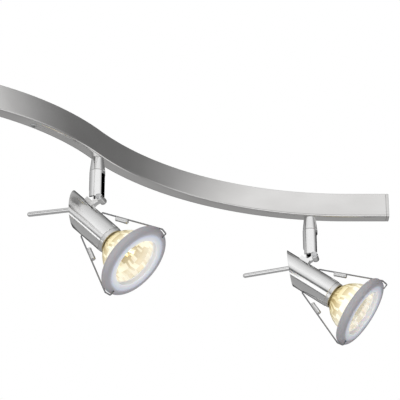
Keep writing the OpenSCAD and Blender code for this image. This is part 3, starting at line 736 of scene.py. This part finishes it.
def make_canopy():
    outer = [(0, CANOPY_R - 0.3), (0.3, CANOPY_R)]
    outer += [(CANOPY_H - CANOPY_EDGE_R + y, CANOPY_R - CANOPY_EDGE_R + x)
              for x, y in arc((0, 0), CANOPY_EDGE_R, 0, 90, 10)]
    inner_r, inner_h, inner_edge = CANOPY_R - CANOPY_WALL, CANOPY_H - CANOPY_WALL, CANOPY_EDGE_R - CANOPY_WALL
    inner = [(inner_h - inner_edge + y, inner_r - inner_edge + x)
             for x, y in arc((0, 0), inner_edge, 90, 0, 8)] + [(0, inner_r)]
    profile = [(CANOPY_H, 0.0001)] + outer[::-1] + inner[::-1] + [(inner_h, 0.0001)]
    bowl = moved(lathe(profile, 128), pointing_down(0, 0, 0))
    aside = DOORWAY_W / 2
    gap = [(-aside, 1), (-aside, -DOORWAY_H), (aside, -DOORWAY_H), (aside, 1)]
    openings = []
    for side in (-1, 1):
        openings.append(on_side(swept(rail_path(INNER_END - 30, INNER_END - 60), gap, SATIN), side))
        stud_hole = rod(2.15, CANOPY_H - 3, CANOPY_H + 2)
        openings.append(moved(stud_hole, pointing_down(0, side * CANOPY_SCREW_Y, 0)))
    piece("canopy_spun", cut(bowl, *openings), SATIN, "ceiling_bar", "canopy")


def make_transformer():
    low, high = (Vector(corner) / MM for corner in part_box("transformer"))
    seam = 0.25
    base = eased(block(low, (high.x, high.y, low.z + 15)), 1.2, segments=3)
    lid = eased(block((low.x + seam, low.y + seam, low.z + 15), (high.x - seam, high.y - seam, high.z)), 1.2,
                segments=3)
    vents = [block((x, low.y - 1, low.z + 4), (x + 1.4, low.y + 1.2, low.z + 11))
             for x in (low.x + 12 + 5 * k for k in range(10))]
    case = joined(cut(base, *vents), lid)
    piece("transformer_case", case, WHITE_CASE, "ceiling_bar", "transformer")


def make_cables():
    """The flat two-core cable in each half rail, with its two leads down the nipples."""
    transformer_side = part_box("transformer")[1][1] / MM
    core = arc((0, 1.15), 1.2, -28, 208, 10) + arc((0, -1.15), 1.2, 152, 388, 10)
    end = INNER_END + 4
    runs = []
    for side in (-1, 1):
        first = rail_point(end, -CABLE_SIDE, CABLE_Z)
        turn_off = rail_point(end - 12, -CABLE_SIDE, CABLE_Z)
        path = bent([(first[0], transformer_side, CABLE_Z), first, turn_off], 1.8)
        path += [Vector(p) for p in rail_path(end - 16, HEADS_AT[0], -CABLE_SIDE, CABLE_Z)]
        meshes = [swept(path, core, SHEATH)]
        for s in HEADS_AT:
            corners = [rail_point(s, -CABLE_SIDE, CABLE_Z), rail_point(s, 0, CABLE_Z),
                       rail_point(s, 0, -43.0)]
            meshes.append(swept(bent(corners, 1.6), round_section(1.2), SHEATH))
        runs.append(on_side(joined(*meshes), side))
    piece("feed_cables_flat", joined(*runs), SHEATH, "ceiling_bar", "feed_cables")


def at_every_head(mesh, z):
    return joined(*[copied(mesh, at_rail(s, z, side)) for s in HEADS_AT for side in (-1, 1)])


def make_fittings():
    """Ferrules, nipples and their nuts, under and in the rail at each head."""
    taper = [(0, NIPPLE_R + 0.05), (0, FERRULE_TOP_R - 0.25), (0.25, FERRULE_TOP_R),
             (FERRULE_H - 0.35, STEM_R - 0.05), (FERRULE_H, STEM_R - 0.4), (FERRULE_H, NIPPLE_R + 0.05)]
    piece("ferrules_turned", at_every_head(lathe(taper), -RAIL_H), BRIGHT, "ceiling_bar",
          "ferrules")
    length = NIPPLE_TOP - NIPPLE_BOTTOM
    thread = [(0, NIPPLE_R - 0.35)]
    for k in range(int(length) - 1):
        thread += [(k + 0.5, NIPPLE_R), (k + 1.0, NIPPLE_R - 0.32)]
    nipple = lathe([(0, NIPPLE_BORE_R)] + thread + [(length, NIPPLE_R - 0.35), (length, NIPPLE_BORE_R)], 40)
    piece("nipples_threaded", at_every_head(nipple, NIPPLE_TOP), BLACK_ZINC, "ceiling_bar",
          "nipples")
    corner_r = HEX_R / math.cos(math.pi / 6)
    flats = round_section(corner_r, 6)
    chamfer = lathe([(0, 0), (0, HEX_R), (0.45, HEX_R + 0.8), (HEX_T - 0.45, HEX_R + 0.8), (HEX_T, HEX_R),
                     (HEX_T, 0)], 60)
    hexagon = combined(prism(flats, 0, HEX_T), [chamfer], "INTERSECT")
    hexagon = cut(hexagon, rod(NIPPLE_R, -1, HEX_T + 1))
    hexagon = moved(hexagon, Matrix.Rotation(math.pi / 2, 4, "X"))
    lock = lathe([(0, NIPPLE_R), (0, LOCK_R - 0.3), (0.3, LOCK_R), (LOCK_T - 0.3, LOCK_R),
                  (LOCK_T, LOCK_R - 0.3), (LOCK_T, NIPPLE_R)], 48)
    nuts = joined(at_every_head(hexagon, RAIL_WALL - RAIL_H + HEX_T),
                  at_every_head(lock, NIPPLE_BOTTOM + LOCK_T))
    piece("nipple_nuts_turned", nuts, BLACK_ZINC, "ceiling_bar", "nipple_nuts")


# ---------------------------------------------------------------- the head's pieces, about its pivot

ACROSS = Matrix.Rotation(math.pi / 2, 4, "Z")     # turns a piece made along X to lie along Y


def upright_rod(radius, low, high):
    """A round bar along Z."""
    return moved(rod(radius, low, high), Matrix.Rotation(-math.pi / 2, 4, "Y"))


def across_rod(radius, half, centre=(0, 0, 0), edge=0.0):
    return moved(rod(radius, -half, half, edge), Matrix.Translation(centre) @ ACROSS)


def stem_mesh():
    """The stem, about the point where its axis meets the rail's underside."""
    bottom, pivot = STEM_TOP - STEM_L, (PIVOT_FORWARD, 0, PIVOT_Z)
    slot_top, reach = STEM_TOP - 3.0, 60
    half = STEM_SLOT / 2
    screw_flat = rod(BOSS_R, BOSS_W / 2, 20)      # for the pivot screw's head
    body = added(upright_rod(STEM_R, bottom, STEM_TOP), across_rod(BOSS_R, BOSS_W / 2, pivot))
    body = cut(body,
               block((STEM_BACK - STEM_R, -half, slot_top - reach), (reach, half, slot_top)),
               block((-reach, -half, PIVOT_Z - reach), (0, half, PIVOT_Z + BACK_OPENING)),
               upright_rod(NIPPLE_R + 0.05, slot_top - 1, STEM_TOP + 1),
               across_rod(PIVOT_SCREW_R + 0.05, 20, pivot),
               moved(screw_flat, Matrix.Translation(pivot) @ Matrix.Rotation(-math.pi / 2, 4, "Z")))
    return eased(body, 0.22, 35)


def pivot_screw_mesh():
    under = BOSS_W / 2
    head = [(-under, 0), (-under, PIVOT_SCREW_R), (under, PIVOT_SCREW_R), (under, 2.6),
            (under + 0.7, 2.6), (under + 1.05, 2.2), (under + 1.2, 1.2), (under + 1.2, 0)]
    screw = cut(lathe(head, 40), block((under + 0.6, -0.35, -4), (under + 3, 0.35, 4)))
    return moved(screw, Matrix.Translation((PIVOT_FORWARD, 0, PIVOT_Z)) @ Matrix.Rotation(-math.pi / 2, 4, "Z"))


def knuckle_mesh():
    """The lug from the pivot to the saddle, along the link's direction, and the saddle on the tube."""
    link, half, reach = (0.353, 0.935), 2.0, TUBE_DROP - TUBE_R
    foot = -reach * link[0] / link[1]
    side = [(half * link[1], -half * link[0]), (-half * link[1], half * link[0]),
            (foot - half * link[1], half * link[0] - reach), (foot + half * link[1], -half * link[0] - reach)]
    lug = moved(prism([(-x, z) for x, z in side], -LUG_HALF_W, LUG_HALF_W), ACROSS)
    front = foot + SADDLE_FRONT
    saddle = block((front - SADDLE_L, -SADDLE_HALF_W, -reach - 1), (front, SADDLE_HALF_W, SADDLE_TOP - reach))
    body = added(across_rod(BOSS_R - 0.1, STEM_SLOT / 2 - 0.3), lug, saddle)
    tube = moved(rod(TUBE_R, -60, 60, steps=96), Matrix.Translation((0, 0, -TUBE_DROP)))
    return eased(cut(body, across_rod(PIVOT_SCREW_R + 0.05, 20), tube), 0.25, 35)


def slanted(x, radius, angle, inset=0.0):
    """A point at a radius from the tube's axis, on the slanted rear plane moved inwards by inset."""
    height = radius * math.sin(angle)
    rear = -TUBE_REAR + (TUBE_R - height) * math.tan(SLANT) + inset / math.cos(SLANT)
    return (rear + x, radius * math.cos(angle), height - TUBE_DROP)


def on_axis(x, radius, angle):
    return (x, radius * math.cos(angle), radius * math.sin(angle) - TUBE_DROP)


def tube_mesh(steps=96):
    """The lamp tube, cut square at the front and slanted at the rear, with rolled rims."""
    ease, rows = 0.25, []
    angles = [2 * math.pi * k / steps for k in range(steps)]
    outline = ((slanted, 0, TUBE_R - ease), (slanted, ease, TUBE_R), (on_axis, 10, TUBE_R),
               (on_axis, TUBE_FRONT - ease, TUBE_R), (on_axis, TUBE_FRONT, TUBE_R - ease),
               (on_axis, TUBE_FRONT, TUBE_BORE + ease), (on_axis, TUBE_FRONT - ease, TUBE_BORE),
               (on_axis, 10, TUBE_BORE), (slanted, ease, TUBE_BORE), (slanted, 0, TUBE_BORE + ease))
    for make, x, radius in outline:
        rows += [make(x, radius, a) for a in angles]
    mesh = shell(rows, grid_faces(len(outline), steps, True, True))
    hole = moved(upright_rod(CLIP_HOLE_R, -20, 20), Matrix.Translation((CLIP_FOOT, 0, -TUBE_DROP)))
    return cut(mesh, hole)


def rear_cap_mesh(steps=72):
    radius = TUBE_BORE - 0.01
    angles = [2 * math.pi * k / steps for k in range(steps)]
    rows = []
    for inset, r in ((CAP_RECESS, 0), (CAP_RECESS, radius - 0.5), (CAP_RECESS + 0.5, radius),
                     (CAP_RECESS + REAR_CAP_T, radius), (CAP_RECESS + REAR_CAP_T, 0)):
        rows += [slanted(0, r, a, inset) for a in angles]
    return cut(shell(rows, grid_faces(5, steps, False, True)), at_slant(rod(ROD_R - 0.5, -12, 4)))


def at_slant(mesh):
    """Places a piece made along X so that +X leaves the slanted rear, square to it."""
    corner = TUBE_R * math.tan(SLANT) - TUBE_REAR
    return moved(mesh, Matrix.Translation((corner, 0, -TUBE_DROP)) @ Matrix.Rotation(math.pi - SLANT, 4, "Y"))


def aiming_rod_mesh():
    seat, tip = -CAP_RECESS, ROD_L - ROD_R
    dome = [(tip + ROD_R * math.sin(a), ROD_R * math.cos(a))
            for a in (math.radians(15 * k) for k in range(7))]
    profile = [(seat - REAR_CAP_T, 0), (seat - REAR_CAP_T, ROD_R - 0.5), (seat, ROD_R - 0.5), (seat, ROD_R)]
    return at_slant(lathe(profile + dome[:-1] + [(ROD_L, 0)], 48))


def along_aim(mesh, x=0.0):
    return moved(mesh, Matrix.Translation((x, 0, -TUBE_DROP)))


def lampholder_mesh():
    back, waist = HOLDER_FRONT - HOLDER_L, HOLDER_R - 0.6
    body = lathe([(back, 0), (back, 7.7), (back + 0.8, HOLDER_R), (back + 6, HOLDER_R), (back + 6.5, waist),
                  (back + 8, waist), (back + 8.5, HOLDER_R), (HOLDER_FRONT - 0.6, HOLDER_R),
                  (HOLDER_FRONT, waist), (HOLDER_FRONT, 0)], 60)
    hole = rod(0.85, HOLDER_FRONT - 8, HOLDER_FRONT + 1, steps=20)
    holes = [copied(hole, Matrix.Translation((0, y, 0))) for y in (-PIN_ASIDE, PIN_ASIDE)]
    return along_aim(cut(body, *holes))


def collar_mesh():
    wall, flange, front = 1.2, TUBE_R - 0.5, COLLAR_FRONT
    outer, lip = TUBE_BORE - 0.02, TUBE_FRONT + 0.02
    profile = [(HOLDER_FRONT, NECK_R + 0.15), (HOLDER_FRONT, outer), (lip, outer), (lip, flange),
               (front - 0.35, flange), (front, flange - 0.35), (front, TUBE_BORE - wall + 0.2),
               (front - 0.2, TUBE_BORE - wall), (HOLDER_FRONT + wall, TUBE_BORE - wall),
               (HOLDER_FRONT + wall, NECK_R + 0.15)]
    return along_aim(lathe(profile, 84))


def reflector_curve(wall, rings):
    """The reflector's curve from its rim to its vertex, shrunk by a wall."""
    depth, rim = LAMP_DEPTH - wall, LAMP_R - wall
    return [(LAMP_FRONT - depth * math.sin(a), rim * math.cos(a))
            for a in (math.pi / 2 * k / rings for k in range(rings + 1))]


def reflector_mesh(sectors=60, rings=8):
    """The faceted reflector: a wall with a rim, facets inside and out, open where the neck starts."""
    outer = [p for p in reflector_curve(0, rings) if p[1] > NECK_R]
    inner = [p for p in reflector_curve(LAMP_WALL, rings) if p[1] > 5.5]
    rows, marks = [], []
    for k, (x, r) in enumerate(outer):
        rows += [(x, r, (k % 2) / 2, 1.0)]
    rows += [(LAMP_FRONT - LAMP_DEPTH - 0.2, r, 0.0, 1.0) for r in (NECK_R, 5.0)]
    for k, (x, r) in enumerate(inner[::-1]):
        rows += [(x, r, ((len(inner) - 1 - k) % 2) / 2, 0.0)]
    verts = []
    for x, r, shift, mark in rows:
        for c in range(sectors):
            a = 2 * math.pi * (c + shift) / sectors
            verts.append((x, r * math.cos(a), r * math.sin(a)))
            marks.append(mark)
    mesh = shell(verts, grid_faces(len(rows), sectors, True, True))
    outside = mesh.attributes.new("outside", "FLOAT", "POINT")
    outside.data.foreach_set("value", marks)
    shades = random.Random(5)
    facet = mesh.attributes.new("facet", "FLOAT", "FACE")
    facet.data.foreach_set("value", [shades.random() for _ in range(len(mesh.polygons))])
    return along_aim(mesh)


def lamp_base_mesh():
    vertex = LAMP_FRONT - LAMP_DEPTH
    neck = lathe([(HOLDER_FRONT + 0.1, 0), (HOLDER_FRONT + 0.1, NECK_R - 0.8), (HOLDER_FRONT + 0.9, NECK_R),
                  (vertex + 0.5, NECK_R), (vertex + 0.5, 0)], 60)
    pin = lathe([(HOLDER_FRONT - 7, 0), (HOLDER_FRONT - 6.6, 0.6), (HOLDER_FRONT - 6, 0.8),
                 (HOLDER_FRONT + 0.5, 0.8), (HOLDER_FRONT + 0.5, 0)], 16)
    pins = [copied(pin, Matrix.Translation((0, y, 0))) for y in (-PIN_ASIDE, PIN_ASIDE)]
    return along_aim(joined(neck, *pins))


def capsule_mesh():
    base, tip, r = LAMP_FRONT - LAMP_DEPTH + 0.6, LAMP_FRONT - LAMP_DEPTH + 14, 4.2
    dome = [(tip + r * 0.9 * math.sin(a), r * math.cos(a))
            for a in (math.radians(15 * k) for k in range(6))]
    pip = [(tip + r * 0.9 + 0.3, 0.7), (tip + r * 0.9 + 1.0, 0.4), (tip + r * 0.9 + 1.1, 0)]
    return along_aim(lathe([(base, 0), (base, 3.4), (base + 4, 3.6), (base + 5.5, r)] + dome + pip, 40))


def filament_mesh():
    turns, steps, r = 7, 14, 0.9
    points = [(LAMP_FRONT - LAMP_DEPTH + 19.8 + r * math.cos(a), 3.4 * (2 * k / (turns * steps) - 1),
               r * math.sin(a)) for k, a in ((k, 2 * math.pi * k / steps) for k in range(turns * steps + 1))]
    return along_aim(swept(points, round_section(0.18, 6), FILAMENT))


def front_glass_mesh():
    r = LAMP_R - LAMP_WALL - 0.05
    return along_aim(lathe([(LAMP_FRONT - 1.5, 0), (LAMP_FRONT - 1.5, r), (LAMP_FRONT - 0.3, r),
                            (LAMP_FRONT - 0.1, r - 0.3), (LAMP_FRONT - 0.02, 0)], 72))


def glass_ring_mesh():
    """The ring: a rounded outer edge, a flat front, and a step behind that the lamp's rim sits in."""
    e, edge, seat = RING_EDGE_R, 0.5, LAMP_R + 0.15
    step = RING_FRONT - RING_LIP
    outside = arc((RING_FRONT - e, RING_R - e), e, 0, 90, 10)
    outside += arc((RING_BACK + e, RING_R - e), e, 90, 180, 10)
    profile = [(RING_FRONT - edge, RING_OPENING_R), (RING_FRONT, RING_OPENING_R + edge)] + outside
    profile += [(RING_BACK, seat + 0.3), (RING_BACK + 0.3, seat), (step, seat), (step, RING_OPENING_R + 0.3),
                (step + 0.3, RING_OPENING_R)]
    return along_aim(lathe(profile, 128))


def clip_meshes():
    """The upper spring clip: its wire, bent from foot to hook, and its grip, grooved near each end."""
    elbow = (CLIP_FOOT, 0, TUBE_R + CLIP_RISE)
    top = ((RING_FRONT + RING_BACK) / 2, 0, RING_R + CLIP_RISE + CLIP_R)
    corner = (RING_FRONT + HOOK_GAP + CLIP_R, 0, RING_R + CLIP_R)
    tip = (corner[0], 0, corner[2] - HOOK_DROP)
    foot = (CLIP_FOOT, 0, CLIP_FOOT_R)
    run = swept(bent([foot, elbow, top, corner, tip], 0.9), round_section(CLIP_R, 20), WIRE)
    toe = moved(rod(CLIP_R, -3.5, 3.5, 0.2, 20), Matrix.Translation(foot) @ ACROSS)
    slope = math.atan2(top[2] - elbow[2], top[0] - elbow[0])
    grooves = []
    for from_end in (0.9, 10.8):
        x = from_end - GRIP_L / 2
        grooves += [(x, GRIP_R), (x + 0.7, GRIP_R), (x + 0.8, GRIP_R - 0.22), (x + 1.0, GRIP_R - 0.22)]
    profile = ([(-GRIP_L / 2, 0), (-GRIP_L / 2, GRIP_R - 0.5), (0.5 - GRIP_L / 2, GRIP_R)] + grooves
               + [(GRIP_L / 2 - 0.5, GRIP_R), (GRIP_L / 2, GRIP_R - 0.5), (GRIP_L / 2, 0)])
    grip = moved(lathe(profile, 36), Matrix.Translation(elbow) @ Matrix.Rotation(-slope, 4, "Y")
                 @ Matrix.Translation((GRIP_AT, 0, 0.35 - GRIP_R)))
    return along_aim(joined(run, toe)), along_aim(grip)


def head_frames(i):
    """The matrices that place a stem's and a lamp tube's pieces, from the head's own joints."""
    joint = {j["name"]: j for j in frame["joints"]}
    swivel, tilt = joint[f"swivel_{i}"], joint[f"tilt_{i}"]
    axis, pivot = Vector(tilt["axis"]), Vector(tilt["pos_m"])
    forward, up = axis.cross(Vector((0, 0, 1))), Vector((0, 0, 1))
    turn = -math.radians(tilt["range_deg"][0])
    aim = forward * math.cos(turn) - up * math.sin(turn)
    above = forward * math.sin(turn) + up * math.cos(turn)

    def matrix(origin, x, y, z):
        columns = Matrix((x, y, z)).transposed()
        return Matrix.Translation(origin) @ columns.to_4x4() @ Matrix.Scale(MM, 4)

    under_rail = Vector((swivel["pos_m"][0], swivel["pos_m"][1], -RAIL_H * MM))
    return matrix(under_rail, forward, axis, up), matrix(pivot, aim, axis, above)


def make_heads():
    wire, grip = clip_meshes()
    underside = Matrix.Translation((0, 0, -2 * TUBE_DROP)) @ Matrix.Scale(-1, 4, (0, 0, 1))
    stem_pieces = [("stem", stem_mesh(), STEM_BRIGHT, "polished_nickel"),
                   ("pivot_screw", pivot_screw_mesh(), SCREW_ZINC, "zinc_steel")]
    spot_pieces = [("knuckle", knuckle_mesh(), BRIGHT, "polished_nickel"),
                   ("tube", tube_mesh(), TUBE_BRIGHT, "polished_nickel"),
                   ("rear_cap", rear_cap_mesh(), BRIGHT, "polished_nickel"),
                   ("aiming_rod", aiming_rod_mesh(), BRIGHT, "polished_nickel"),
                   ("lampholder", lampholder_mesh(), CERAMIC, "ceramic"),
                   ("collar", collar_mesh(), ALUMINIUM, "aluminium"),
                   ("glass_ring", glass_ring_mesh(), FROSTED, "frosted_glass")]
    lamp_pieces = [("lamp_base", lamp_base_mesh(), CERAMIC, "ceramic", 32),
                   ("lamp_capsule", capsule_mesh(), QUARTZ, "lamp_glass", 32),
                   ("lamp_filament", filament_mesh(), FILAMENT, "lamp_glass", 60),
                   ("lamp_front_glass", front_glass_mesh(), FRONT_GLASS, "lamp_glass", 32)]
    reflector = reflector_mesh()
    for i in range(1, 5):
        at_stem, at_pivot = head_frames(i)
        head = f"head_{i}_"
        for name, mesh, finish, slot in stem_pieces:
            piece(head + name + "_made", mesh, finish, f"swivel_{i}", head + name, at_stem)
        for name, mesh, finish, slot in spot_pieces:
            piece(head + name + "_made", mesh, finish, f"spot_{i}", head + name, at_pivot)
        for name, mesh, finish, slot, smooth in lamp_pieces:
            piece(head + name, mesh, finish, f"spot_{i}", None, at_pivot, smooth)
        piece(head + "lamp_reflector", reflector, REFLECTOR, f"spot_{i}", head + "lamp",
              at_pivot, 0)
        for side, turn in (("upper", Matrix.Identity(4)), ("lower", underside)):
            body = f"{side}_clip_{i}"
            piece(head + side + "_clip_wire", copied(wire, turn), WIRE, body,
                  head + side + "_clip", at_pivot)
            piece(head + side + "_clip_grip", copied(grip, turn), GRIP, body, None, at_pivot)


# ---------------------------------------------------------------- floor, sky, lights and camera

BRIGHTEST = 1.3     # the sky's brightest band, against white
SKY_BANDS = ((-180, 0.45), (-150, 0.42), (-62, 0.40), (-58, 0.12), (-50, 0.12), (-46, 1.3), (-12, 1.3),
             (-8, 0.10), (0, 0.12), (8, 0.8), (25, 1.1), (60, 0.8), (110, 0.5), (150, 0.5), (180, 0.45))
# Direction, where the patch is full, where it starts (both as a cosine), and what it multiplies the sky by
SKY_PATCHES = (((0.83, 0.36, 0.42), 0.95, 0.45, 0.40),
               ((0, 0.906, 0.42), 0.95, 0.68, 0.12),
               ((0.757, 0.469, -0.454), 0.995, 0.95, 3.0))


def make_floor():
    floor = bpy.data.objects.new("floor", bpy.data.meshes.new("floor"))
    half, down = 6.0, -2.3
    corners = [(-half, -half, down), (half, -half, down), (half, half, down), (-half, half, down)]
    floor.data.from_pydata(corners, [], [(0, 1, 2, 3)])
    paint = Finish("pale_floor", Roughness=0.7)
    speckle = paint.noise(paint.spot((0.01, 0.01, 0.01)))
    paint.set("Base Color", paint.ramp(speckle, (0.3, grey(0.84)), (0.7, grey(0.87))))
    floor.data.materials.append(paint.material)
    bpy.context.scene.collection.objects.link(floor)
    floor.visible_glossy = False


def make_sky():
    """Bands by the pitch of a direction, with soft patches; the camera itself sees plain white."""
    world = bpy.data.worlds.new("soft_sky")
    bpy.context.scene.world = world
    world.use_nodes = True
    sky, background = Nodes(world.node_tree), world.node_tree.nodes["Background"]
    direction = sky.node("ShaderNodeTexCoord").outputs["Generated"]
    parts = sky.node("ShaderNodeSeparateXYZ", {0: direction}).outputs
    pitch = sky.math("ARCTAN2", parts["Z"], sky.math("MULTIPLY", parts["Y"], -1))
    bands = [((degrees + 180) / 360, grey(level / BRIGHTEST)) for degrees, level in SKY_BANDS]
    tone = sky.ramp(sky.range(pitch, -math.pi, math.pi, 0, 1), *bands)
    for towards, full, start, factor in SKY_PATCHES:
        nearness = sky.node("ShaderNodeVectorMath", {0: direction, 1: Vector(towards).normalized()},
                            operation="DOT_PRODUCT").outputs["Value"]
        shade = sky.range(nearness, start, full, 1, factor, interpolation_type="SMOOTHSTEP")
        tone = sky.mix(1.0, tone, shade, blend_type="MULTIPLY")
    seen = sky.node("ShaderNodeLightPath").outputs["Is Camera Ray"]
    white = sky.mix(seen, tone, (*grey(1 / BRIGHTEST), 1))
    sky.tree.links.new(white, background.inputs["Color"])
    background.inputs["Strength"].default_value = BRIGHTEST


def make_stage():
    """A pale floor far below, a soft sky, area lights and the camera."""
    make_floor()
    make_sky()
    bpy.context.scene.view_settings.view_transform = "Standard"

    def lamp(name, place, target, size, power):
        light = bpy.data.lights.new(name, "AREA")
        light.shape, light.size, light.energy = "DISK", size, power
        thing = bpy.data.objects.new(name, light)
        thing.location = place
        thing.visible_glossy = False
        thing.rotation_euler = (Vector(target) - Vector(place)).to_track_quat("-Z", "Y").to_euler()
        bpy.context.scene.collection.objects.link(thing)

    middle = (0.25, 0.1, -0.06)
    lamp("key", (-0.9, -1.7, 0.5), middle, 0.9, 16)
    lamp("below", (0.3, -1.0, -1.5), middle, 0.8, 9)

    camera = bpy.data.objects.new("camera", bpy.data.cameras.new("camera"))
    camera.data.lens, camera.data.sensor_width = 166.5, 36.0
    camera.location = (0.3134, -1.391, -0.776)
    camera.rotation_euler = (math.radians(90 + 25), 0, 0)
    camera.data.clip_start = 0.01
    bpy.context.scene.collection.objects.link(camera)
    bpy.context.scene.camera = camera


make_rails()
make_end_caps()
make_canopy()
make_cap_nuts()
make_screws()
make_transformer()
make_cables()
make_fittings()
make_heads()
frame["nodes"]["mounting_plate"].data.materials.clear()
frame["nodes"]["mounting_plate"].data.materials.append(ZINC)
make_stage()
